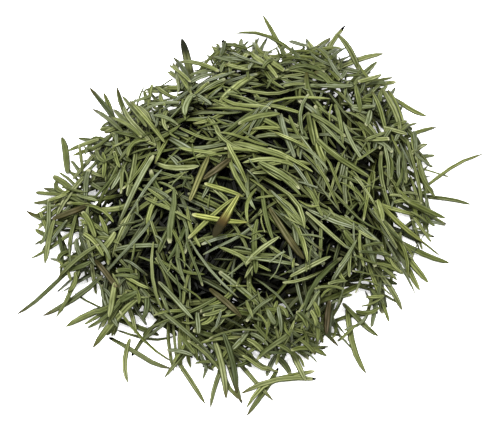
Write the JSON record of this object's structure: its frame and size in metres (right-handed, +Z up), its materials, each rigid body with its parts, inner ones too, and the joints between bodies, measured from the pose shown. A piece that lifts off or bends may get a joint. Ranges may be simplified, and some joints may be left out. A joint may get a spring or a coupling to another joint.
{
  "type": "heap of rosemary leaves",
  "caption": "Low, loose heap of stripped rosemary leaves lying across each other at all angles, green with some yellow and brown ones on top.",
  "frame": {"origin": "middle of the heap's box seen from above, on the surface that the heap lies on", "axes": "+Z up, out of the top of the heap; the pictured side faces -Y and +Z"},
  "size_m": [0.203, 0.1944, 0.0364],
  "materials": {
    "green_leaf": "waxy leaf, slightly glossy",
    "yellow_leaf": "waxy leaf, slightly glossy",
    "browned_leaf": "dry leaf, dull",
    "dark_tipped_leaf": "waxy leaf, slightly glossy"
  },
  "bodies": {
    "root": {"leaf_heap": "green_leaf", "yellow_leaf_1": "yellow_leaf", "yellow_leaf_2": "yellow_leaf", "yellow_leaf_3": "yellow_leaf", "yellow_leaf_4": "yellow_leaf", "browned_leaf_1": "browned_leaf", "browned_leaf_2": "browned_leaf", "browned_leaf_3": "browned_leaf", "browned_leaf_4": "browned_leaf", "browned_leaf_5": "browned_leaf", "browned_leaf_6": "browned_leaf", "browned_leaf_7": "browned_leaf", "browned_leaf_8": "browned_leaf", "dark_tipped_leaf_1": "dark_tipped_leaf"}
  },
  "joints": []
}
